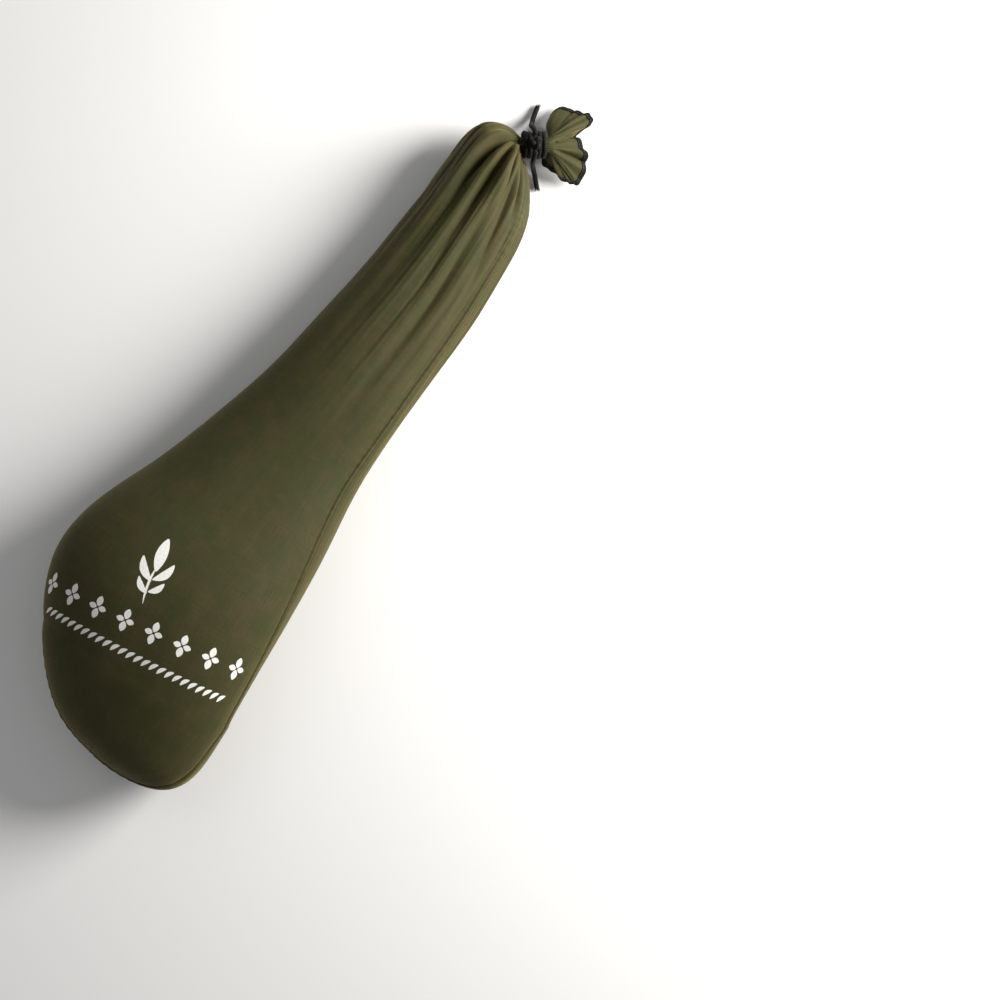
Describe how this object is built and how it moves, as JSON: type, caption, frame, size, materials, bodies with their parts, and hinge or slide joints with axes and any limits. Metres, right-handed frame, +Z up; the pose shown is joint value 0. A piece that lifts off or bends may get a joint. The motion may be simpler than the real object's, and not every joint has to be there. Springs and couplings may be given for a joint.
{
  "type": "cured ham in a tied cloth bag",
  "caption": "Whole bone-in cured ham lying on its side in a fitted cotton bag that is gathered past the hoof, wound with cord and knotted.",
  "frame": {"origin": "on the table, under the middle of the bag", "axes": "+X along the leg from the butt to the foot, +Y across the leg towards the side the butt swings to, +Z up from the table"},
  "size_m": [0.839, 0.2682, 0.1321],
  "materials": {
    "cloth": "dark olive cotton sateen, smooth and softly shining",
    "rind": "cured rind and fat, waxy, amber to brown",
    "cord": "black braided cotton cord, matt"
  },
  "bodies": {
    "root": {"ham": "rind", "bag": "cloth", "tie_turns": "cord", "tie_knot": "cord", "tie_end_lower": "cord", "tie_end_upper": "cord"}
  },
  "joints": []
}
